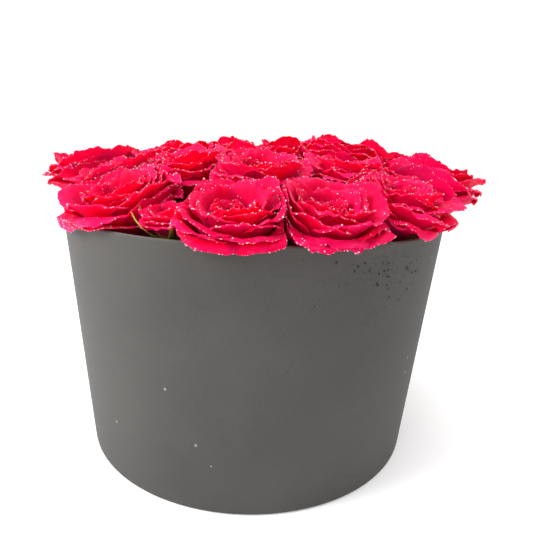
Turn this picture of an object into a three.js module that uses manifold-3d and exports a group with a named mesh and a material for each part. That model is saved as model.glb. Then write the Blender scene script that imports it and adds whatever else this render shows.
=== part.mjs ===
// Round flower box with an arrangement of roses in wet foam.
// Millimetres, +Z up, front towards -Y. The origin is the middle of the underside.
// The box is a slightly tapered greyboard tube wrapped in black paper. A film liner inside it holds
// six foam bricks, and each rose stands on its own vertical stem in a hole in the upper bricks.
import * as THREE from 'three';
import { mergeVertices } from 'three/addons/utils/BufferGeometryUtils.js';
import Module from 'manifold-3d';

const wasm = await Module();
wasm.setup();

// ---- driving dimensions ----
const RIM_R = 150; // outer radius at the rim
const BASE_R = 136; // outer radius at the foot
const HEIGHT = 185; // foot to rim
const PAPER = 0.4; // thickness of every paper
const BOARD = 1.6; // thickness of the tube's board
const BASE_BOARD = 2.0; // thickness of the base disc
const GAP = 0.3; // clearance between touching pieces
const TURN_IN = 14; // paper folded over the rim, down the inside
const TURN_UNDER = 16; // paper folded under the foot
const ROUND = 40; // sides of every round box piece

const FILM = 0.6; // thickness of the waterproof liner
const FILM_TOP = 158; // height of the liner's edge

const FOAM_TOP = 140;
const FOAM_SPLIT = 62; // height of the joint between the two layers of foam
const BRICK_W = 110; // width of the middle brick of each layer
const BRICK_L = 230; // length of the middle brick of each layer

const STEM_R = 3;
const STEM_DEPTH = 65; // length of stem in the foam
const STEM_SIDES = 6;
const HOLE_R = 3.6;
const HOLE_SIDES = 8;

const SEPALS = 5;
const SEPAL_L = 22; // length of a sepal from the calyx's axis

const BLOOM_R = 37; // radius of a full-size bloom
const BLOOM_H = 38; // calyx to the edge of the hollow
const BLOOM_SIDES = 12;
const CELL_GAP = 0.4; // clearance between neighbouring roses
const RIM_CLEAR = 0.8; // height of the petals above the rim

// Each rose: angle of its place about Z, radius of its heart, height of its heart above the rim,
// size, and how far it leans outward. Angles are in degrees.
const ROSES = [
  [-95.5, 132, 23, 1.0, 18],
  [-71, 132, 25, 1.0, 18],
  [-42, 134, 31, 1.0, 16],
  [-4, 147, 43, 1.15, 12],
  [28, 144, 47, 1.1, 20],
  [57, 136, 34, 1.1, 26],
  [86, 134, 31, 1.1, 27],
  [115, 134, 31, 1.1, 27],
  [143, 139, 38, 1.05, 22],
  [171, 147, 41, 1.15, 12],
  [-138, 126, 25, 1.15, 20],
  [-114, 130, 14, 0.45, 12],
  [-142, 70, 45, 0.95, 14],
  [-89, 70, 46, 0.95, 14],
  [-31, 80, 45, 0.95, 6],
  [19, 78, 58, 1.0, 12],
  [66, 74, 55, 1.0, 12],
  [114, 74, 53, 1.0, 12],
  [168, 76, 50, 1.0, 12],
  [0, 0, 54, 1.0, 0],
  [-164, 118, 34, 0.95, 18],
  [-21, 121, 35, 0.75, 16],
];

// ---- helpers ----
const wallR = (z) => BASE_R + ((RIM_R - BASE_R) * z) / HEIGHT;
const rad = THREE.MathUtils.degToRad;

function finish(color, roughness) {
  return new THREE.MeshStandardMaterial({ color, roughness, metalness: 0 });
}

// Turns a closed outline of [radius, height] points about Z.
function lathe(outline, sides = ROUND) {
  const points = outline.map(([r, z]) => new THREE.Vector2(r, z));
  return new THREE.LatheGeometry(points, sides).rotateX(Math.PI / 2);
}

// A ring whose outline closes on itself.
function ring(outline) {
  return lathe([...outline, outline[0]]);
}

// An upright extrusion of a flat shape between two heights.
function upright(shape, z0, z1, curveSegments = 12) {
  const settings = { depth: z1 - z0, bevelEnabled: false, curveSegments };
  return new THREE.ExtrudeGeometry(shape, settings).translate(0, 0, z0);
}

function polygon(radius, sides) {
  const corner = (i) => {
    const a = (i * 2 * Math.PI) / sides;
    return new THREE.Vector2(radius * Math.cos(a), radius * Math.sin(a));
  };
  return new THREE.Shape(Array.from({ length: sides }, (_, i) => corner(i)));
}

function solid(geometry) {
  const bare = geometry.clone();
  bare.deleteAttribute('normal');
  bare.deleteAttribute('uv');
  const merged = mergeVertices(bare, 1e-4);
  return new wasm.Manifold(new wasm.Mesh({
    numProp: 3,
    vertProperties: new Float32Array(merged.attributes.position.array),
    triVerts: new Uint32Array(merged.index.array),
  }));
}

function geometryOf(manifold) {
  const mesh = manifold.getMesh();
  const geometry = new THREE.BufferGeometry();
  geometry.setAttribute('position', new THREE.BufferAttribute(mesh.vertProperties, 3));
  geometry.setIndex(new THREE.BufferAttribute(mesh.triVerts, 1));
  geometry.computeVertexNormals();
  return geometry;
}

const model = new THREE.Group();

function piece(name, geometry, material) {
  const mesh = new THREE.Mesh(geometry, material);
  mesh.name = name;
  model.add(mesh);
}

// ---- the box ----
const blackPaper = finish(0x45443f, 0.85);
const greyBoard = finish(0x8a8478, 0.9);
const baseZ = PAPER + GAP; // underside of the paper folded under the foot
const boardZ = baseZ + PAPER + GAP; // underside of the board
const boardTop = HEIGHT - PAPER - GAP;
const innerPaper = PAPER + GAP + BOARD + GAP; // from the outside to the papers inside the tube
const innerFace = innerPaper + PAPER;

function coverPaper() {
  return ring([
    [wallR(baseZ) - TURN_UNDER, baseZ],
    [wallR(baseZ), baseZ],
    [RIM_R, HEIGHT],
    [RIM_R - innerFace, HEIGHT],
    [wallR(HEIGHT - TURN_IN) - innerFace, HEIGHT - TURN_IN],
    [wallR(HEIGHT - TURN_IN) - innerPaper, HEIGHT - TURN_IN],
    [RIM_R - innerPaper, HEIGHT - PAPER],
    [RIM_R - PAPER, HEIGHT - PAPER],
    [wallR(baseZ + PAPER) - PAPER, baseZ + PAPER],
    [wallR(baseZ) - TURN_UNDER, baseZ + PAPER],
  ]);
}

function boardTube() {
  const outer = PAPER + GAP;
  return ring([
    [wallR(boardZ) - outer, boardZ],
    [wallR(boardTop) - outer, boardTop],
    [wallR(boardTop) - outer - BOARD, boardTop],
    [wallR(boardZ) - outer - BOARD, boardZ],
  ]);
}

function disc(radius, z0, z1) {
  return lathe([[0, z0], [radius, z0], [radius, z1], [0, z1]]);
}

const liningZ = boardZ + BASE_BOARD + GAP;
const liningTop = HEIGHT - TURN_IN - GAP;
const floorZ = liningZ + PAPER + GAP; // underside of the liner

function wallLining() {
  return ring([
    [wallR(liningZ) - innerFace, liningZ],
    [wallR(liningZ) - innerPaper, liningZ],
    [wallR(liningTop) - innerPaper, liningTop],
    [wallR(liningTop) - innerFace, liningTop],
  ]);
}

piece('cover_paper', coverPaper(), blackPaper);
piece('board_tube', boardTube(), greyBoard);
piece('base_disc', disc(wallR(boardZ) - innerPaper, boardZ, boardZ + BASE_BOARD), greyBoard);
piece('base_paper', disc(BASE_R - 3, 0, PAPER), blackPaper);
piece('wall_lining', wallLining(), blackPaper);
piece('base_lining', disc(wallR(liningZ) - innerFace - GAP, liningZ, liningZ + PAPER), blackPaper);

// ---- the liner and the foam ----
const filmOuter = (z) => wallR(z) - innerFace - GAP;

function linerFilm() {
  return lathe([
    [0, floorZ],
    [filmOuter(floorZ), floorZ],
    [filmOuter(FILM_TOP), FILM_TOP],
    [filmOuter(FILM_TOP) - FILM, FILM_TOP],
    [filmOuter(floorZ + FILM) - FILM, floorZ + FILM],
    [0, floorZ + FILM],
  ]);
}

const foamFloor = floorZ + FILM + GAP;
const foamRadius = (z) => filmOuter(z) - FILM - GAP - 0.5;

// A segment of a circle beyond x = from, as a shape.
function segment(radius, from) {
  const half = Math.acos(from / radius);
  return new THREE.Shape().absarc(0, 0, radius, -half, half, false);
}

// The whole middle brick and the two cut side bricks of one layer, turned about Z.
function foamLayer(z0, z1, turn) {
  const middle = new THREE.Shape([
    new THREE.Vector2(-BRICK_W / 2, -BRICK_L / 2),
    new THREE.Vector2(BRICK_W / 2, -BRICK_L / 2),
    new THREE.Vector2(BRICK_W / 2, BRICK_L / 2),
    new THREE.Vector2(-BRICK_W / 2, BRICK_L / 2),
  ]);
  const side = segment(foamRadius(z0), BRICK_W / 2 + GAP);
  return [
    upright(side, z0, z1).rotateZ(turn + Math.PI),
    upright(middle, z0, z1).rotateZ(turn),
    upright(side, z0, z1).rotateZ(turn),
  ];
}

// ---- the roses ----
// Places of one rose: its heart, the top of its calyx, its lean and its upright stem line.
function layOut([angle, radius, lift, size, leanDegrees]) {
  const lean = rad(leanDegrees);
  const out = new THREE.Vector3(Math.cos(rad(angle)), Math.sin(rad(angle)), 0);
  const axis = out.clone().multiplyScalar(Math.sin(lean)).setZ(Math.cos(lean));
  const heart = out.clone().multiplyScalar(radius).setZ(HEIGHT + lift);
  const calyx = heart.clone().addScaledVector(axis, -BLOOM_H * size);
  const stem = calyx.clone().addScaledVector(out, radius > 0 ? -4 : 0);
  return { heart, calyx, axis, stem, size };
}

const roses = ROSES.map(layOut);

// Turns a geometry from its own +Z to the rose's axis and moves it to the top of the calyx.
function onRose(geometry, rose) {
  const up = new THREE.Vector3(0, 0, 1);
  const turn = new THREE.Quaternion().setFromUnitVectors(up, rose.axis);
  return geometry.applyQuaternion(turn).translate(rose.calyx.x, rose.calyx.y, rose.calyx.z);
}

// The bloom's outline from the calyx out to the petal edge, and in over the lip to the hollow.
function bloomSolid(rose) {
  const k = rose.size;
  const outline = [
    [0, 0], [6, 0], [12, 7], [23, 21], [BLOOM_R, 30], [BLOOM_R - 3, 36],
    [22, BLOOM_H], [12, BLOOM_H - 7], [0, BLOOM_H - 10],
  ];
  const scaled = outline.map(([r, z]) => [r * k, z * k]);
  return solid(onRose(lathe(scaled, BLOOM_SIDES), rose));
}

// The stem: straight up through the foam, then bent over into the calyx.
function stemSolid(rose) {
  const foot = new THREE.Vector3(rose.stem.x, rose.stem.y, FOAM_TOP - STEM_DEPTH);
  const bend = new THREE.Vector3(rose.stem.x, rose.stem.y, FOAM_TOP + 6);
  const end = rose.calyx.clone().addScaledVector(rose.axis, -3);
  const knee = new THREE.Vector3(rose.stem.x, rose.stem.y, (bend.z + end.z) / 2);
  const path = new THREE.CurvePath();
  path.add(new THREE.LineCurve3(foot, bend));
  path.add(new THREE.QuadraticBezierCurve3(bend, knee, end));
  const settings = { extrudePath: path, steps: 6, bevelEnabled: false };
  return solid(new THREE.ExtrudeGeometry(polygon(STEM_R, STEM_SIDES), settings));
}

// The calyx cup under the petals, with its edge drawn out into five drooping sepals.
function calyxSolid(rose) {
  const k = rose.size;
  const edge = 2; // the outline's point that becomes the sepals
  const outline = [[0, -9], [4, -7], [6, -4], [6, -GAP / k], [0, -GAP / k]];
  const geometry = lathe(outline.map(([r, z]) => [r * k, z * k]), 2 * SEPALS);
  const position = geometry.attributes.position;
  for (let side = 0; side <= 2 * SEPALS; side += 2) {
    const tip = side * outline.length + edge;
    const reach = SEPAL_L / outline[edge][0];
    position.setXYZ(tip, position.getX(tip) * reach, position.getY(tip) * reach, -14 * k);
  }
  return solid(onRose(geometry, rose));
}

// Keeps a rose's piece in the rose's own upright cell, and above the rim where it passes over it.
const rimRing = solid(ring([
  [RIM_R - 8, FOAM_TOP], [RIM_R + 60, FOAM_TOP],
  [RIM_R + 60, HEIGHT + RIM_CLEAR], [RIM_R - 8, HEIGHT + RIM_CLEAR],
]));

function trimmed(manifold, rose) {
  let kept = manifold.subtract(rimRing);
  for (const other of roses) {
    const away = other.heart.clone().sub(rose.heart).setZ(0);
    const distance = away.length();
    if (other === rose || distance > 3 * BLOOM_R) continue;
    const beyond = new THREE.BoxGeometry(100, 400, 400).translate(50, 0, 0);
    beyond.rotateZ(Math.atan2(away.y, away.x));
    const share = (distance * rose.size) / (rose.size + other.size) - CELL_GAP / 2;
    const edge = rose.heart.clone().addScaledVector(away.normalize(), share);
    kept = kept.subtract(solid(beyond.translate(edge.x, edge.y, HEIGHT)));
  }
  return kept;
}

const petalRed = finish(0xd8002c, 0.6);
const sepalGreen = finish(0x8fa02a, 0.7);
const foamGreen = finish(0x2f5a3a, 0.95);

const holes = roses.map((rose) => {
  const hole = polygon(HOLE_R, HOLE_SIDES);
  const bore = upright(hole, FOAM_TOP - STEM_DEPTH - GAP, FOAM_TOP + 1);
  return solid(bore.translate(rose.stem.x, rose.stem.y, 0));
});

piece('liner_film', linerFilm(), finish(0x20211f, 0.3));
foamLayer(foamFloor, FOAM_SPLIT, Math.PI / 2).forEach((brick, i) => {
  piece(`foam_lower_${i + 1}`, brick, foamGreen);
});
foamLayer(FOAM_SPLIT + GAP, FOAM_TOP, 0).forEach((brick, i) => {
  const drilled = holes.reduce((rest, hole) => rest.subtract(hole), solid(brick));
  piece(`foam_upper_${i + 1}`, geometryOf(drilled), foamGreen);
});
roses.forEach((rose, i) => {
  const name = `rose_${String(i + 1).padStart(2, '0')}`;
  const stem = stemSolid(rose).add(calyxSolid(rose));
  const bloom = trimmed(bloomSolid(rose), rose);
  piece(`${name}_bloom`, geometryOf(bloom), petalRed);
  piece(`${name}_stem`, geometryOf(trimmed(stem, rose).subtract(bloom)), sepalGreen);
});

export default model;
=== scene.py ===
"""Round black flower box with a low dome of open red roses, sprayed with water.

Lengths are in millimetres while a piece is being made and in metres once it is an object.
Each rose is laid out as in the CAD model, from a short list of places on the dome.
"""

import math

import bpy
import numpy as np
from mathutils import Matrix, Vector


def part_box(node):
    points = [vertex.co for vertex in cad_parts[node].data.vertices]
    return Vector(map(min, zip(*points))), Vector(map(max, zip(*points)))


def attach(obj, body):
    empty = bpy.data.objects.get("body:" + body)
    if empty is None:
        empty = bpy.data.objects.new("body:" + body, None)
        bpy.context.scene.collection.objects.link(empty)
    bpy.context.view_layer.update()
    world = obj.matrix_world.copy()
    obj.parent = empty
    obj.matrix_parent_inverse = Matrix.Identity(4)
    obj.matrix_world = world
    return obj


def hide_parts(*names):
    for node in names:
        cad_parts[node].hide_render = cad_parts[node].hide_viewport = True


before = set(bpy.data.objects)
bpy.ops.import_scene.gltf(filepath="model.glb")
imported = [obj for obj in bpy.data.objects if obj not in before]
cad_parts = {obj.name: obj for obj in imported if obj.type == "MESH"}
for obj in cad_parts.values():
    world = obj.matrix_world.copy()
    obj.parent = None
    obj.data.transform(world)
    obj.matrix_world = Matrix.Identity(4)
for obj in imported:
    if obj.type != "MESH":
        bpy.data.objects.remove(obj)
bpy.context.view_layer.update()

MM = 0.001

# ---- sizes taken from the frame ----
cover_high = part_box("cover_paper")[1]
RIM_R = cover_high.x / MM
HEIGHT = cover_high.z / MM
FOAM_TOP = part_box("foam_upper_2")[1].z / MM

# ---- sizes that repeat the CAD model's ----
BASE_R = 136.0  # outer radius at the foot
PAPER = 0.4  # thickness of every paper
GAP = 0.3  # clearance between touching pieces
BOARD = 1.6  # thickness of the tube's board
FILM = 0.6  # thickness of the liner
TURN_IN = 14.0  # paper folded over the rim, down the inside
TURN_UNDER = 16.0  # paper folded under the foot
STEM_DEPTH = 65.0  # length of stem in the foam

ROUND_SIDES = 192  # sides of every round piece of the box
STEM_SIDES = 14
SHARP_ANGLE = 50  # degrees; a steeper edge is shaded sharp

# ---- the camera: millimetres from the box's axis and above the floor, degrees down, right and over ----
SENSOR = 36.0
LENS = 30.9
CAMERA_DISTANCE = 389.0
CAMERA_HEIGHT = 234.0
CAMERA_PITCH = 14.1
CAMERA_YAW = 1.6
CAMERA_ROLL = 2.4

# ---- the roses: angle of the place, radius of the heart, height above the rim, size, lean ----
BLOOM_H = 38.0  # calyx to the edge of the hollow
ROSES = [
    (-95.5, 132, 23, 1.0, 18),
    (-71, 132, 25, 1.0, 18),
    (-42, 134, 31, 1.0, 16),
    (-4, 147, 43, 1.15, 12),
    (28, 144, 47, 1.1, 20),
    (57, 136, 34, 1.1, 26),
    (86, 134, 31, 1.1, 27),
    (115, 134, 31, 1.1, 27),
    (143, 139, 38, 1.05, 22),
    (171, 147, 41, 1.15, 12),
    (-138, 126, 25, 1.15, 20),
    (-114, 130, 14, 0.45, 12),
    (-142, 70, 45, 0.95, 14),
    (-89, 70, 46, 0.95, 14),
    (-31, 80, 45, 0.95, 6),
    (19, 78, 58, 1.0, 12),
    (66, 74, 55, 1.0, 12),
    (114, 74, 53, 1.0, 12),
    (168, 76, 50, 1.0, 12),
    (0, 0, 54, 1.0, 0),
    (-164, 118, 34, 0.95, 18),
    (-21, 121, 35, 0.75, 16),
]


def wall_radius(z):
    """Outer radius of the tapered wall at height z."""
    return BASE_R + (RIM_R - BASE_R) * z / HEIGHT


# ---------------------------------------------------------------- meshes


def mesh_object(name, verts, faces, material, attributes=None):
    """A mesh object from vertices in millimetres, with optional per-vertex float attributes."""
    mesh = bpy.data.meshes.new(name)
    mesh.from_pydata((np.asarray(verts) * MM).tolist(), [], [list(map(int, f)) for f in faces])
    mesh.polygons.foreach_set("use_smooth", [True] * len(mesh.polygons))
    for key, values in (attributes or {}).items():
        layer = mesh.attributes.new(key, "FLOAT", "POINT")
        layer.data.foreach_set("value", np.asarray(values, np.float32))
    mesh.materials.append(material)
    mesh.validate()
    mesh.update()
    mesh.set_sharp_from_angle(angle=math.radians(SHARP_ANGLE))
    obj = bpy.data.objects.new(name, mesh)
    bpy.context.scene.collection.objects.link(obj)
    return obj


def grid_faces(rows, cols, start=0, wrap=False):
    """Quads of a rows x cols grid of vertices; wrap joins the last column to the first."""
    faces = []
    for i in range(rows - 1):
        for j in range(cols if wrap else cols - 1):
            k = (j + 1) % cols
            a = start + i * cols + j
            b = start + i * cols + k
            faces.append((a, b, b + cols, a + cols))
    return faces


def lathe(name, outline, material, wobble=None):
    """A closed ring or a disc: an outline of (radius, height) points turned about Z."""
    sides = ROUND_SIDES
    outline = np.asarray(outline, float)
    angles = np.arange(sides) * 2 * math.pi / sides
    r = outline[:, 0][:, None] * np.ones(sides)[None, :]
    z = outline[:, 1][:, None] * np.ones(sides)[None, :]
    if wobble is not None:
        dr, dz = wobble(angles[None, :], z)
        r, z = r + dr * (r > 1), z + dz
    verts = np.stack([r * np.cos(angles), r * np.sin(angles), z], -1)
    rows = len(outline)
    faces = []
    closed = not (outline[0, 0] < 1e-6 and outline[-1, 0] < 1e-6)
    flat = verts.reshape(-1, 3)
    for i in range(rows if closed else rows - 1):
        a, b = i * sides, ((i + 1) % rows) * sides
        for j in range(sides):
            k = (j + 1) % sides
            faces.append((a + j, a + k, b + k, b + j))
    if not closed:
        flat, faces = weld_poles(flat, faces, rows, sides)
    return mesh_object(name, flat, faces, material)


def weld_poles(verts, faces, rows, sides):
    """Replaces the rings of zero radius at both ends of a lathed outline by one vertex each."""
    last = (rows - 1) * sides
    keep = np.vstack([verts[:1], verts[sides:last], verts[last:last + 1]])

    def renumber(i):
        if i < sides:
            return 0
        if i >= last:
            return len(keep) - 1
        return i - sides + 1

    welded = []
    for face in faces:
        corners = list(dict.fromkeys(renumber(i) for i in face))
        if len(corners) > 2:
            welded.append(corners)
    return keep, welded


def arc(centre, radius, start, end, steps):
    """Points of an arc in the (radius, height) plane, angles in degrees."""
    angles = np.radians(np.linspace(start, end, steps))
    return [(centre[0] + radius * math.cos(a), centre[1] + radius * math.sin(a)) for a in angles]


# ---------------------------------------------------------------- materials


def new_material(name):
    """A node material, its node tree and its Principled shader."""
    material = bpy.data.materials.new(name)
    material.use_nodes = True
    tree = material.node_tree
    return material, tree, tree.nodes["Principled BSDF"]


def add(tree, kind, inputs=None, **settings):
    """Adds a node, sets its properties, and links or sets its inputs."""
    node = tree.nodes.new(kind)
    for key, value in settings.items():
        setattr(node, key, value)
    for key, value in (inputs or {}).items():
        if isinstance(value, bpy.types.NodeSocket):
            tree.links.new(value, node.inputs[key])
        else:
            node.inputs[key].default_value = value
    return node


def noise(tree, vector, scale, detail=4.0, rough=0.5):
    return add(tree, "ShaderNodeTexNoise",
               {"Vector": vector, "Scale": scale, "Detail": detail, "Roughness": rough}).outputs["Fac"]


def ramp(tree, factor, stops):
    """A colour ramp; stops are (position, colour)."""
    node = add(tree, "ShaderNodeValToRGB", {"Fac": factor})
    elements = node.color_ramp.elements
    while len(elements) < len(stops):
        elements.new(0.5)
    for element, (position, colour) in zip(elements, stops):
        element.position = position
        element.color = (*colour, 1.0)
    return node.outputs["Color"]


def mix(tree, factor, a, b):
    """Blends from colour a to colour b."""
    node = add(tree, "ShaderNodeMix", data_type="RGBA", blend_type="MIX")
    for socket, value in ((node.inputs[0], factor), (node.inputs[6], a), (node.inputs[7], b)):
        if isinstance(value, bpy.types.NodeSocket):
            tree.links.new(value, socket)
        elif isinstance(value, tuple):
            socket.default_value = (*value, 1.0)
        else:
            socket.default_value = value
    return node.outputs[2]


def math_node(tree, operation, a, b):
    return add(tree, "ShaderNodeMath", {0: a, 1: b}, operation=operation).outputs[0]


def bump(tree, shader, height, strength, distance):
    node = add(tree, "ShaderNodeBump", {"Height": height, "Strength": strength, "Distance": distance})
    tree.links.new(node.outputs["Normal"], shader.inputs["Normal"])


def object_space(tree):
    return add(tree, "ShaderNodeTexCoord").outputs["Object"]


def streaks(tree, place, turn, scale, low, high):
    """Short thin marks on the front and back of the wall, sloping by turn degrees."""
    node = add(tree, "ShaderNodeMapping", {"Vector": place}, vector_type="TEXTURE")
    node.inputs["Rotation"].default_value = (0.0, math.radians(-turn), 0.0)
    node.inputs["Scale"].default_value = (1.0, 1.0, 1.0 / 9.0)
    turned = node.outputs["Vector"]
    return ramp(tree, noise(tree, turned, scale, 3.0, 0.6), [(low, (0.0,) * 3), (high, (1.0,) * 3)])


def paper_material():
    """Matte black wrapping paper: fibres, soft blotches, scuffs, rubbed edges and a little dust."""
    material, tree, shader = new_material("black_paper")
    place = object_space(tree)
    blotch = noise(tree, place, 14.0, 5.0, 0.6)
    colour = ramp(tree, blotch, [(0.3, (0.041, 0.038, 0.035)), (0.7, (0.065, 0.061, 0.057))])
    fibre = noise(tree, place, 900.0, 3.0, 0.7)
    weave = ramp(tree, fibre, [(0.3, (0.037, 0.034, 0.032)), (0.7, (0.075, 0.070, 0.066))])
    colour = mix(tree, 0.25, colour, weave)
    rare = ramp(tree, noise(tree, place, 9.0, 2.0), [(0.52, (0.0,) * 3), (0.66, (1.0,) * 3)])
    dark = math_node(tree, "MULTIPLY", streaks(tree, place, 55.0, 24.0, 0.66, 0.74), rare)
    colour = mix(tree, math_node(tree, "MULTIPLY", dark, 0.55), colour, (0.025, 0.023, 0.021))
    pale = math_node(tree, "MULTIPLY", streaks(tree, place, 5.0, 19.0, 0.70, 0.80), rare)
    colour = mix(tree, math_node(tree, "MULTIPLY", pale, 0.35), colour, (0.22, 0.21, 0.20))
    dust = add(tree, "ShaderNodeTexVoronoi", {"Vector": place, "Scale": 80.0}, feature="F1")
    fleck = math_node(tree, "LESS_THAN", dust.outputs["Distance"], 0.075)
    some = math_node(tree, "GREATER_THAN", noise(tree, place, 31.0, 2.0), 0.61)
    fleck = math_node(tree, "MULTIPLY", math_node(tree, "MULTIPLY", fleck, some), 0.45)
    colour = mix(tree, fleck, colour, (0.50, 0.49, 0.47))
    height = add(tree, "ShaderNodeSeparateXYZ", {0: place}).outputs["Z"]
    fold = math_node(tree, "GREATER_THAN", height, (HEIGHT - 0.4) * MM)
    rubbed = math_node(tree, "MULTIPLY", fold, noise(tree, place, 60.0, 4.0, 0.7))
    colour = mix(tree, rubbed, colour, (0.13, 0.125, 0.12))
    tree.links.new(colour, shader.inputs["Base Color"])
    rough = ramp(tree, blotch, [(0.3, (0.60,) * 3), (0.7, (0.70,) * 3)])
    tree.links.new(rough, shader.inputs["Roughness"])
    shader.inputs["Specular IOR Level"].default_value = 0.35
    bump(tree, shader, fibre, 0.25, 0.0002)
    return material


def petal_material():
    """Velvety rose petal: deep red in the heart, brighter and pinker to the edge, fine veins, painted shade
    darkening the inner rings, and mist painted as wet highlights on the edges.
    """
    material, tree, shader = new_material("petal")
    place = object_space(tree)
    edge = add(tree, "ShaderNodeAttribute", attribute_name="edge").outputs["Fac"]
    tint = add(tree, "ShaderNodeAttribute", attribute_name="tint").outputs["Fac"]
    mottle = noise(tree, place, 60.0, 4.0, 0.6)
    deep = mix(tree, mottle, (0.73, 0.0, 0.030), (0.88, 0.0, 0.045))
    bright = mix(tree, mottle, (0.88, 0.0, 0.050), (0.93, 0.002, 0.085))
    colour = mix(tree, edge, deep, bright)
    colour = mix(tree, math_node(tree, "MULTIPLY", tint, 0.4), colour, (0.97, 0.003, 0.13))
    # Painted shade: the inner rings are darkened towards deep red, standing for the shade in the hollow of
    # the cup.
    inner = add(tree, "ShaderNodeAttribute", attribute_name="inner").outputs["Fac"]
    colour = mix(tree, math_node(tree, "MULTIPLY", inner, 0.6), colour, (0.46, 0.0, 0.020))
    # Painted highlight: pink speckles along the edges stand for glints on the wet, crinkled petal edges.
    mist_highlight = noise(tree, place, 130.0, 6.0, 0.75)
    mist_highlight = ramp(tree, mist_highlight, [(0.50, (0.0,) * 3), (0.70, (1.0,) * 3)])
    mist_highlight = math_node(tree, "MULTIPLY", mist_highlight, math_node(tree, "POWER", edge, 1.5))
    colour = mix(tree, math_node(tree, "MULTIPLY", mist_highlight, 0.45), colour, (1.0, 0.10, 0.28))
    tree.links.new(colour, shader.inputs["Base Color"])
    shader.inputs["Roughness"].default_value = 0.55
    shader.inputs["Specular IOR Level"].default_value = 0.12
    shader.inputs["Specular Tint"].default_value = (1.0, 0.2, 0.4, 1.0)
    shader.inputs["Sheen Weight"].default_value = 0.3
    shader.inputs["Sheen Roughness"].default_value = 0.4
    shader.inputs["Sheen Tint"].default_value = (1.0, 0.03, 0.25, 1.0)
    shader.inputs["Subsurface Weight"].default_value = 0.5
    shader.inputs["Subsurface Radius"].default_value = (1.0, 0.03, 0.08)
    shader.inputs["Subsurface Scale"].default_value = 0.004
    vein = noise(tree, place, 240.0, 4.0, 0.6)
    bump(tree, shader, vein, 0.3, 0.0005)
    return material


def dew_material():
    """Sprayed drops, their white base colour a painted sparkle and their pink a painted reflection of the
    petals under them.
    """
    material, tree, shader = new_material("dew")
    place = object_space(tree)
    # Painted highlight and reflection: white for the glints on the drops, pink for the red petals seen in
    # them.
    colour = ramp(tree, noise(tree, place, 300.0), [(0.35, (1.0, 0.45, 0.58)), (0.6, (1.0, 0.93, 0.96))])
    tree.links.new(colour, shader.inputs["Base Color"])
    shader.inputs["Roughness"].default_value = 0.04
    shader.inputs["IOR"].default_value = 1.33
    shader.inputs["Transmission Weight"].default_value = 0.35
    return material


def water_material():
    """Clear drops that show the dark paper behind them, darkened further by a grey base colour as painted
    shade.
    """
    material, tree, shader = new_material("water")
    place = object_space(tree)
    # Painted shade: the grey base colour darkens the clear drops.
    colour = ramp(tree, noise(tree, place, 200.0), [(0.3, (0.2, 0.2, 0.2)), (0.7, (0.45, 0.45, 0.45))])
    tree.links.new(colour, shader.inputs["Base Color"])
    shader.inputs["Roughness"].default_value = 0.03
    shader.inputs["IOR"].default_value = 1.33
    shader.inputs["Transmission Weight"].default_value = 1.0
    return material


def plain_material(name, low, high, scale, roughness, depth=0.0003, strength=0.3):
    """A mottled, slightly bumpy surface between two colours."""
    material, tree, shader = new_material(name)
    place = object_space(tree)
    grain = noise(tree, place, scale, 6.0, 0.6)
    tree.links.new(ramp(tree, grain, [(0.3, low), (0.7, high)]), shader.inputs["Base Color"])
    shader.inputs["Roughness"].default_value = roughness
    bump(tree, shader, grain, strength, depth)
    return material


PAPER_MAT = paper_material()
PETAL_MAT = petal_material()
DEW_MAT = dew_material()
WATER_MAT = water_material()
SEPAL_MAT = plain_material("sepal", (0.24, 0.30, 0.015), (0.56, 0.58, 0.07), 160.0, 0.5)
FOAM_MAT = plain_material("wet_foam", (0.012, 0.05, 0.02), (0.04, 0.12, 0.05), 700.0, 0.9, 0.001, 0.8)
BOARD_MAT = plain_material("grey_board", (0.3, 0.27, 0.23), (0.42, 0.39, 0.34), 500.0, 0.9)
FILM_MAT = plain_material("film", (0.012, 0.012, 0.012), (0.03, 0.03, 0.03), 40.0, 0.25)


# ---------------------------------------------------------------- the box


def paper_wave(angles, z):
    """The wrap isn't perfectly round: a slight wave, less towards the foot."""
    rise = z / HEIGHT
    dr = 0.12 * rise * (np.sin(2 * angles + 0.6) + 0.6 * np.sin(5 * angles + 2.1))
    dz = 0.12 * rise ** 6 * np.sin(7 * angles)
    return dr, dz


def cover_paper():
    """The black wrap: up the outside, over the rim and down inside, and turned in under the foot."""
    inner = PAPER + GAP + BOARD + GAP
    face = inner + PAPER
    low = PAPER + GAP
    fold = 1.0
    levels = np.linspace(low + 2.0, HEIGHT - fold - 0.5, 24)
    outline = [(wall_radius(low) - TURN_UNDER, low)]
    outline += arc((wall_radius(low) - fold, low + fold), fold, -90, 0, 5)
    outline += [(wall_radius(z), z) for z in levels]
    outline += arc((RIM_R - fold, HEIGHT - fold), fold, 0, 90, 6)
    outline += arc((RIM_R - face + fold, HEIGHT - fold), fold, 90, 180, 6)
    outline += [(wall_radius(HEIGHT - TURN_IN) - face, HEIGHT - TURN_IN)]
    outline += [(wall_radius(HEIGHT - TURN_IN) - inner, HEIGHT - TURN_IN)]
    outline += [(RIM_R - inner, HEIGHT - PAPER - 0.1), (RIM_R - PAPER, HEIGHT - PAPER - 0.1)]
    outline += [(wall_radius(z) - PAPER, z) for z in levels[::-1]]
    outline += [(wall_radius(low) - PAPER - 0.5, low + PAPER), (wall_radius(low) - TURN_UNDER, low + PAPER)]
    stand_in(lathe("cover", outline, PAPER_MAT, wobble=paper_wave), "box", "cover_paper")


def stand_in(piece, body, node):
    """The piece takes a CAD node's place."""
    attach(piece, body)
    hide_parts(node)


def heights(node):
    """The lowest and the highest point of a CAD node."""
    low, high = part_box(node)
    return low.z / MM, high.z / MM


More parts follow.
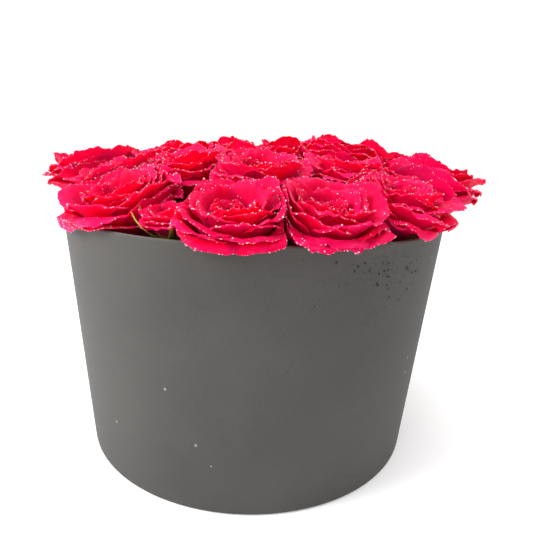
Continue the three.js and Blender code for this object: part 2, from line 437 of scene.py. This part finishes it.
def tube(name, node, depth, thickness, material):
    """A thin tapered tube inside the wall, depth behind the outside."""
    levels = np.linspace(*heights(node), 8)
    outline = [(wall_radius(z) - depth, z) for z in levels]
    outline += [(wall_radius(z) - depth - thickness, z) for z in levels[::-1]]
    stand_in(lathe(name, outline, material, wobble=paper_wave), "box", node)


def disc(name, node, material):
    z0, z1 = heights(node)
    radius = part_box(node)[1].x / MM
    outline = [(0, z0), (radius, z0), (radius, z1), (0, z1)]
    stand_in(lathe(name, outline, material), "box", node)


def film_bucket():
    """The waterproof liner: a thin cup that follows the wall."""
    z0, z1 = heights("liner_film")
    depth = PAPER + GAP + BOARD + GAP + PAPER + GAP
    levels = np.linspace(z0, z1, 12)
    outline = [(0, z0)] + [(wall_radius(z) - depth, z) for z in levels]
    outline += [(wall_radius(z) - depth - FILM, max(z, z0 + FILM)) for z in levels[::-1]]
    outline += [(0, z0 + FILM)]
    stand_in(lathe("film", outline, FILM_MAT), "insert", "liner_film")


def inside_of_box():
    """The board, the linings and the liner, from the outside in."""
    tube("tube_board", "board_tube", PAPER + GAP, BOARD, BOARD_MAT)
    tube("lining", "wall_lining", PAPER + GAP + BOARD + GAP, PAPER, PAPER_MAT)
    disc("floor_board", "base_disc", BOARD_MAT)
    disc("floor_paper", "base_lining", PAPER_MAT)
    disc("under_paper", "base_paper", PAPER_MAT)
    film_bucket()


def dress_foam():
    """The foam bricks keep their CAD shape and get slightly crumbled edges."""
    for name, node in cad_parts.items():
        if not name.startswith("foam"):
            continue
        node.data.materials.clear()
        node.data.materials.append(FOAM_MAT)
        bevel = node.modifiers.new("crumbled_edge", "BEVEL")
        bevel.width = 0.8 * MM
        bevel.segments = 2
        bevel.limit_method = "ANGLE"
        bevel.angle_limit = math.radians(50)


# ---------------------------------------------------------------- petals


class Ring:
    """One ring of petals: how many, how wide, and the profile from the calyx to the tip."""

    def __init__(self, count, width, profile, lip, corner, ruffle, spiral, jitter):
        self.count = count
        self.width = width  # half the width of a petal
        self.profile = np.array(profile, float)  # four (radius, height) points of a Bezier curve
        self.lip = lip  # how far the top edge rolls back
        self.corner = corner  # how far the corners roll back, which leaves a point between them
        self.ruffle = ruffle  # waves along the edge
        self.spiral = spiral  # one side edge over the next petal, the other under
        self.jitter = jitter  # scatter of the directions, in degrees


RINGS = [
    Ring(5, 25, [(4, 0), (22, 6), (31, 27), (38, 24)], 3.0, 5.0, 2.0, 2.5, 10),
    Ring(5, 25, [(4, 0.5), (21, 7), (29, 32), (36, 31)], 3.0, 4.5, 1.8, 2.4, 10),
    Ring(5, 23, [(3.8, 1), (18, 8), (24, 33), (31, 37)], 2.6, 4.0, 1.5, 2.2, 10),
    Ring(5, 20, [(3.5, 1.5), (16, 10), (19, 34), (25, 39)], 2.2, 3.0, 1.3, 2.0, 12),
    Ring(5, 17, [(3.2, 2), (13, 12), (15, 33), (19.5, 39)], 2.0, 2.4, 1.4, 2.4, 14),
    Ring(4, 13, [(3.0, 3), (10, 13), (12, 28), (14, 35)], 1.4, 2.2, 2.0, 3.0, 20),
    Ring(4, 10, [(2.6, 4), (7, 14), (8.5, 24), (9, 31)], 0.8, 1.6, 2.2, 3.0, 26),
    Ring(3, 7, [(1.6, 5), (3.5, 14), (4.5, 22), (4.5, 28)], 0.4, 1.0, 2.0, 2.0, 30),
]
ACROSS = 25  # points across a petal
ALONG = 16  # points from its foot to its tip
THICK = 0.45  # thickness of a petal and of a sepal
PRESS_START = 4.6  # how far before the plane between two roses their petals start to be pressed
PRESS_SOFT = 4.0  # the pressed petals end within this much more
NEIGHBOUR = 100  # roses further apart than this don't press each other
RIM_LIFT = 1.6  # a petal on the rim lies this far above it
SEPAL_CLEARANCE = 5.0  # from the outside of the wall to a sepal
OVERHANG = 3.5  # how far past the rim a petal level with it reaches
DEW_COUNT = 950  # on a rose of full size
DROP_COUNT = 170  # on the wall
DROP_SEED = 7
ROSE_SEED = 100  # each rose adds its place in the list, counted from 0


def bezier(points, t):
    """A cubic Bezier curve; t may run a little past 1."""
    t = t[..., None]
    a, b, c, d = points
    return (1 - t) ** 3 * a + 3 * (1 - t) ** 2 * t * b + 3 * (1 - t) * t ** 2 * c + t ** 3 * d


def waves(u, rng, cycles):
    """A smooth random wave across a petal, about -1 to 1."""
    total = np.zeros_like(u)
    for cycle in cycles:
        total = total + np.sin(cycle * u + rng.uniform(0, 2 * math.pi))
    return total / len(cycles)


def petal_surface(ring, azimuth, rng):
    """A grid of points in the rose's own space, its axis along Z, and the closeness to the edge."""
    u = np.linspace(-1, 1, ACROSS)[:, None] * np.ones(ALONG)[None, :]
    v = 1 - (1 - np.linspace(0, 1, ALONG)[None, :] * np.ones(ACROSS)[:, None]) ** 1.5
    side = np.abs(u)
    size = 1 + rng.normal(0, 0.05)
    point = rng.uniform(0.02, 0.08) * np.exp(-((u - rng.normal(0, 0.12)) / 0.22) ** 2)
    crinkle = 0.03 * waves(u, rng, (8, 13, 19, 27))
    t = v * (1 - rng.uniform(0.12, 0.22) * side ** 2.4 + point + crinkle)
    curve = bezier(ring.profile * size, t)
    r, z = curve[..., 0], curve[..., 1]
    half = ring.width * size * (0.16 + 0.84 * np.sin(np.clip(t / 0.72, 0, 1) * math.pi / 2) ** 1.1)
    half = half * (1 - 0.12 * np.clip((t - 0.8) / 0.2, 0, 1) ** 2)
    around = u * half / np.maximum(r, 3.0)
    free = np.clip((t - 0.3) / 0.7, 0, 1) ** 1.5
    tip = np.clip((v - 0.72) / 0.28, 0, 1) ** 2
    lip = ring.lip * tip * (0.8 + 0.7 * waves(u, rng, (1.7, 3.9))) * rng.uniform(0.5, 1.5)
    corner = ring.corner * side ** 2.5 * free * rng.uniform(0.6, 1.3)
    r = r + 0.5 * lip + 0.35 * corner + ring.spiral * u * free
    r = r + ring.ruffle * free * waves(u, rng, (2.2, 4.6, 7.5)) + rng.normal(0, 1.0) * free
    z = z - lip - 0.8 * corner
    z = z + ring.ruffle * free * waves(u, rng, (2.6, 5.2, 9.0)) + rng.normal(0, 1.3) * free
    z = z + 1.1 * tip * waves(u, rng, (12, 18, 26))
    crease = 0.55 * free * waves(u + 0.1 * v, rng, (9, 15, 22))
    r, z = r - crease, z + 0.6 * crease
    angle = azimuth + around
    points = np.stack([r * np.cos(angle), r * np.sin(angle), z], -1)
    edge = np.clip(np.maximum(side ** 6 * free, np.clip((v - 0.6) / 0.4, 0, 1) ** 1.5), 0, 1)
    return points, edge


def normals_of(points):
    """Unit normals of a grid of points: the face of a petal or leaf, which looks in and up."""
    du = np.gradient(points, axis=0)
    dv = np.gradient(points, axis=1)
    n = np.cross(dv, du)
    return n / np.maximum(np.linalg.norm(n, axis=-1, keepdims=True), 1e-9)


def thicken(points, start):
    """A closed thin solid round a grid of points: vertices and faces."""
    n = normals_of(points)
    rows, cols = points.shape[:2]
    verts = np.concatenate([(points - n * THICK / 2).reshape(-1, 3), (points + n * THICK / 2).reshape(-1, 3)])
    count = rows * cols
    under = [f[::-1] for f in grid_faces(rows, cols, start)]
    over = grid_faces(rows, cols, start + count)
    border = [(i, 0) for i in range(rows)] + [(rows - 1, j) for j in range(1, cols)]
    border += [(i, cols - 1) for i in range(rows - 2, -1, -1)] + [(0, j) for j in range(cols - 2, 0, -1)]
    index = [start + i * cols + j for i, j in border]
    sides = []
    for a, b in zip(index, index[1:] + index[:1]):
        sides.append((a, b, b + count, a + count))
    return verts, under + over + [s[::-1] for s in sides]


class Rose:
    """Where a rose stands, as in the CAD model."""

    def __init__(self, number, angle, radius, lift, size, lean_degrees):
        self.name = f"rose_{number:02d}"
        self.size = size
        lean = math.radians(lean_degrees)
        out = np.array([math.cos(math.radians(angle)), math.sin(math.radians(angle)), 0.0])
        self.axis = out * math.sin(lean) + np.array([0, 0, math.cos(lean)])
        self.heart = out * radius + np.array([0, 0, HEIGHT + lift])
        self.calyx = self.heart - self.axis * BLOOM_H * size
        self.stem = self.calyx - out * (4.0 if radius > 0 else 0.0)
        turn = Vector((0, 0, 1)).rotation_difference(Vector(self.axis)).to_matrix()
        self.turn = np.array(turn)

    def place(self, points, spin):
        """Points from the rose's own space to the frame, turned by spin about the rose's axis."""
        c, s = math.cos(spin), math.sin(spin)
        about = np.array([[c, -s, 0], [s, c, 0], [0, 0, 1]])
        return points * self.size @ about.T @ self.turn.T + self.calyx


roses = [Rose(i + 1, *row) for i, row in enumerate(ROSES)]


def squeeze(points, rose):
    """Petals that meet a neighbour are pressed back and up."""
    for other in roses:
        away = (other.heart - rose.heart) * np.array([1, 1, 0])
        distance = np.linalg.norm(away)
        if other is rose or distance > NEIGHBOUR:
            continue
        away = away / distance
        share = distance * rose.size / (rose.size + other.size)
        past = (points - rose.heart) @ away - share
        over = np.clip(past + PRESS_START, 0, None)
        kept = PRESS_SOFT * (1 - np.exp(-over / PRESS_SOFT))
        points = points - (over - kept)[..., None] * away
        points[..., 2] += 0.45 * (over - kept)
    return points


def drape(points):
    """Petals that pass over the rim lie on it, hang down outside, and stay close to the wall."""
    reach = np.hypot(points[..., 0], points[..., 1])
    away = np.abs(reach - (RIM_R - 1.5))
    floor = HEIGHT + RIM_LIFT - 0.045 * np.clip(away - 1.5, 0, None) ** 2
    soft = 2.0
    gap = points[..., 2] - floor
    lifted = floor + soft * np.log1p(np.exp(np.clip(gap / soft, -30, 30)))
    points[..., 2] = np.where(gap > 12, points[..., 2], lifted)
    allowed = RIM_R + OVERHANG + 0.9 * np.clip(points[..., 2] - HEIGHT, 0, None)
    past = np.clip(reach - allowed, 0, None)
    drawn_in = past - 3.0 * (1 - np.exp(-past / 3.0))
    points[..., :2] *= (1 - drawn_in / reach)[..., None]
    return points


def build_bloom(rose, rng):
    """All petals of a rose as one piece; returns each petal's points and closeness to the edge."""
    verts, faces, edges, tints, hollow_shades = [], [], [], [], []
    tops = []
    start = 0
    spin = rng.uniform(0, 2 * math.pi)
    for level, ring in enumerate(RINGS):
        offset = level * 2.4 + rng.uniform(-0.3, 0.3)
        for k in range(ring.count):
            azimuth = offset + 2 * math.pi * k / ring.count + math.radians(rng.normal(0, ring.jitter))
            points, edge = petal_surface(ring, azimuth, rng)
            points = drape(squeeze(rose.place(points, spin), rose))
            shell, quads = thicken(points, start)
            verts.append(shell)
            faces += quads
            start += len(shell)
            edges.append(np.tile(edge.ravel(), 2))
            tints.append(np.full(len(shell), rng.uniform(0, 1)))
            # inner: how much painted shade a petal gets, more on the inner rings, for the hollow of the cup.
            hollow_shades.append(np.full(len(shell), max(0.0, (level - 2) / (len(RINGS) - 3))))
            tops.append((points, edge))
    attributes = {"edge": edges, "tint": tints, "inner": hollow_shades}
    attributes = {key: np.concatenate(values) for key, values in attributes.items()}
    piece = mesh_object(f"{rose.name}_petals", np.concatenate(verts), faces, PETAL_MAT, attributes=attributes)
    stand_in(piece, rose.name, f"{rose.name}_bloom")
    return tops


def bead_shape():
    """A small round bead: vertices on a unit sphere and its faces."""
    rings, sides = 4, 6
    verts = [(0, 0, -1)]
    for i in range(1, rings):
        a = math.pi * i / rings - math.pi / 2
        for j in range(sides):
            b = 2 * math.pi * j / sides
            verts.append((math.cos(a) * math.cos(b), math.cos(a) * math.sin(b), math.sin(a)))
    verts.append((0, 0, 1))
    top = len(verts) - 1
    faces = [(0, 1 + (j + 1) % sides, 1 + j) for j in range(sides)]
    for i in range(rings - 2):
        a = 1 + i * sides
        for j in range(sides):
            k = (j + 1) % sides
            faces.append((a + j, a + k, a + sides + k, a + sides + j))
    last = 1 + (rings - 2) * sides
    faces += [(last + j, last + (j + 1) % sides, top) for j in range(sides)]
    return np.array(verts, float), faces


BEAD_VERTS, BEAD_FACES = bead_shape()


def beads(name, places, radii, material):
    """One object with a bead at each place."""
    verts, faces = [], []
    for i, (place, radius) in enumerate(zip(places, radii)):
        verts.append(BEAD_VERTS * radius + place)
        faces += [tuple(c + i * len(BEAD_VERTS) for c in face) for face in BEAD_FACES]
    return mesh_object(name, np.concatenate(verts), faces, material)


def build_dew(rose, tops, rng):
    """Sprayed water: most beads sit along the petal edges."""
    count = int(DEW_COUNT * rose.size ** 2)
    places, radii = [], []
    weights = np.linspace(1.0, 0.25, len(tops))
    weights /= weights.sum()
    while len(places) < count:
        points, edge = tops[rng.choice(len(tops), p=weights)]
        n = normals_of(points)
        i = rng.integers(1, ACROSS - 1)
        j = ALONG - 1 if rng.random() < 0.62 else rng.integers(ALONG // 2, ALONG)
        s = rng.random()
        place = points[i, j] * (1 - s) + points[i + 1, j] * s
        radius = rng.gamma(3.0, 0.068)
        places.append(place + n[i, j] * (THICK / 2 + radius * 0.4))
        radii.append(min(radius, 0.6))
    piece = beads(f"{rose.name}_dew", places, radii, DEW_MAT)
    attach(piece, rose.name)


def build_drops(rng):
    """Water that ran over the front right of the rim stands in drops on the wall."""
    count = DROP_COUNT
    angles = np.radians(rng.normal(-57, 9, count))
    levels = HEIGHT - np.clip(rng.gamma(4.0, 6.0, count), 5, 70)
    radii = np.clip(rng.gamma(4.0, 0.085, count), 0.18, 0.8)
    reach = wall_radius(levels)
    places = np.stack([reach * np.cos(angles), reach * np.sin(angles), levels], -1)
    piece = beads("wall_drops", places, radii, WATER_MAT)
    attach(piece, "box")


# ---------------------------------------------------------------- stems


def sweep(path, radii):
    """A closed tube along a list of points, with a radius at each."""
    sides = STEM_SIDES
    path = np.asarray(path, float)
    tangent = np.gradient(path, axis=0)
    tangent /= np.linalg.norm(tangent, axis=1, keepdims=True)
    rows = []
    side = np.array([1.0, 0.0, 0.0])
    for p, t, radius in zip(path, tangent, radii):
        side = side - t * (side @ t)
        side /= np.linalg.norm(side)
        other = np.cross(t, side)
        a = np.arange(sides) * 2 * math.pi / sides
        rows.append(p + radius * (np.cos(a)[:, None] * side + np.sin(a)[:, None] * other))
    verts = np.concatenate(rows + [path[:1], path[-1:]])
    faces = grid_faces(len(path), sides, wrap=True)
    low, high = len(verts) - 2, len(verts) - 1
    last = (len(path) - 1) * sides
    faces += [(low, (j + 1) % sides, j) for j in range(sides)]
    faces += [(high, last + j, last + (j + 1) % sides) for j in range(sides)]
    return verts, faces


def sepal_surface(azimuth, length, droop, rng):
    """A narrow pointed leaf from the calyx, curving by droop degrees over its length."""
    u = np.linspace(-1, 1, 5)[:, None] * np.ones(9)[None, :]
    v = np.linspace(0, 1, 9)[None, :] * np.ones(5)[:, None]
    bend = math.radians(droop)
    r = 4 + length * (np.sin(bend * v) / bend)
    z = -3 - length * (1 - np.cos(bend * v)) / bend + 0.25 * length * v
    half = 5.6 * (1 - v) ** 0.7 * (0.75 + 0.5 * v) + 0.12
    z = z + 0.8 * np.abs(u) * (1 - v)
    twist = rng.normal(0, 0.5) * v
    y = u * half * np.cos(twist)
    z = z + u * half * np.sin(twist)
    c, s = math.cos(azimuth), math.sin(azimuth)
    return np.stack([r * c - y * s, r * s + y * c, z], -1)


def keep_inside(points):
    """Sepals that are lower than the rim stay inside the wall."""
    reach = np.hypot(points[..., 0], points[..., 1])
    past = np.clip(reach - (wall_radius(points[..., 2]) - SEPAL_CLEARANCE), 0, None)
    scale = np.where(points[..., 2] < HEIGHT + 2.0, 1 - past / reach, 1.0)
    points[..., :2] *= scale[..., None]
    return points


def build_stem(rose, rng):
    """The stem, upright in the foam and bent at the neck, with the calyx and its five sepals."""
    foot = np.array([*rose.stem[:2], FOAM_TOP - STEM_DEPTH + 0.1])
    bend = np.array([*rose.stem[:2], FOAM_TOP + 6])
    end = rose.calyx - rose.axis * 1.0
    knee = np.array([*rose.stem[:2], (bend[2] + end[2]) / 2])
    straight = [foot + (bend - foot) * s for s in np.linspace(0, 1, 8)]
    curved = [bend * (1 - s) ** 2 + knee * 2 * s * (1 - s) + end * s ** 2 for s in np.linspace(0.1, 1, 9)]
    path = straight + curved
    radii = [2.6] * len(straight) + list(np.linspace(2.6, 2.9, 5)) + [3.6, 5.2, 6.0, 5.0]
    verts, faces = sweep(path, radii)
    for k in range(5):
        raised = rose.size < 0.8 or rng.random() < 0.4
        droop = rng.uniform(-80, -50) if raised else rng.uniform(10, 60)
        azimuth = 2 * math.pi * k / 5 + rng.normal(0, 0.2)
        length = rng.uniform(20, 27) / rose.size
        leaf = keep_inside(rose.place(sepal_surface(azimuth, length, droop, rng), 0.0))
        shell, quads = thicken(leaf, len(verts))
        verts = np.concatenate([verts, shell])
        faces = faces + quads
    piece = mesh_object(f"{rose.name}_green", verts, faces, SEPAL_MAT)
    stand_in(piece, rose.name, f"{rose.name}_stem")


# ---------------------------------------------------------------- the scene


def build_stage():
    """A wide round pale floor that curves up into a wall on every side."""
    floor_r, bend, wall, sides = 4800.0, 1200.0, 4600.0, 96
    profile = [(floor_r, 0.0)] + arc((floor_r, bend), bend, -85, 0, 14) + [(floor_r + bend, wall)]
    angles = np.arange(sides) * 2 * math.pi / sides
    verts = [(r * math.cos(a), r * math.sin(a), z) for r, z in profile for a in angles]
    faces = grid_faces(len(profile), sides, wrap=True) + [tuple(range(sides))]
    material, _, shader = new_material("stage")
    shader.inputs["Base Color"].default_value = (0.92, 0.92, 0.92, 1)
    shader.inputs["Roughness"].default_value = 0.9
    shader.inputs["Emission Color"].default_value = (1.0, 1.0, 1.0, 1)
    shader.inputs["Emission Strength"].default_value = 0.24
    floor = mesh_object("stage_floor", verts, faces, material)


def area_light(name, place, target, size, power):
    """A soft round white lamp aimed at a point; metres and watts."""
    data = bpy.data.lights.new(name, "AREA")
    data.shape = "DISK"
    data.size = size
    data.energy = power
    lamp = bpy.data.objects.new(name, data)
    lamp.location = place
    direction = Vector(target) - Vector(place)
    lamp.rotation_mode = "QUATERNION"
    lamp.rotation_quaternion = direction.to_track_quat("-Z", "Y")
    bpy.context.scene.collection.objects.link(lamp)


def build_lights():
    """An even white room, a large key light from the left and a soft light from above."""
    world = bpy.data.worlds.new("studio")
    bpy.context.scene.world = world
    world.use_nodes = True
    background = world.node_tree.nodes["Background"]
    background.inputs["Color"].default_value = (1.0, 1.0, 1.0, 1)
    background.inputs["Strength"].default_value = 0.56
    area_light("key", (-1.4, -0.5, 1.0), (0, 0, 0.12), 1.0, 33)
    area_light("top", (0.1, -0.1, 1.8), (0, 0, 0.2), 1.2, 16)


def build_camera():
    """A short lens close in front of the box and a little above it, tipped down and slightly rolled."""
    distance, height = CAMERA_DISTANCE * MM, CAMERA_HEIGHT * MM
    pitch, yaw, roll = (math.radians(a) for a in (CAMERA_PITCH, CAMERA_YAW, CAMERA_ROLL))
    forward = Vector((math.sin(yaw) * math.cos(pitch), math.cos(yaw) * math.cos(pitch), -math.sin(pitch)))
    right = forward.cross(Vector((0, 0, 1))).normalized()
    up = right.cross(forward)
    right_rolled = right * math.cos(roll) + up * math.sin(roll)
    up_rolled = up * math.cos(roll) - right * math.sin(roll)
    data = bpy.data.cameras.new("camera")
    data.sensor_width = SENSOR
    data.lens = LENS
    camera = bpy.data.objects.new("camera", data)
    camera.matrix_world = Matrix((
        (right_rolled.x, up_rolled.x, -forward.x, 0.0),
        (right_rolled.y, up_rolled.y, -forward.y, -distance),
        (right_rolled.z, up_rolled.z, -forward.z, height),
        (0, 0, 0, 1),
    ))
    bpy.context.scene.collection.objects.link(camera)
    bpy.context.scene.camera = camera


build_camera()
bpy.context.scene.view_settings.view_transform = "Standard"
build_stage()
build_lights()
cover_paper()
inside_of_box()
dress_foam()
build_drops(np.random.default_rng(DROP_SEED))
for number, rose in enumerate(roses):
    rng = np.random.default_rng(ROSE_SEED + number)
    petals = build_bloom(rose, rng)
    build_dew(rose, petals, rng)
    build_stem(rose, rng)
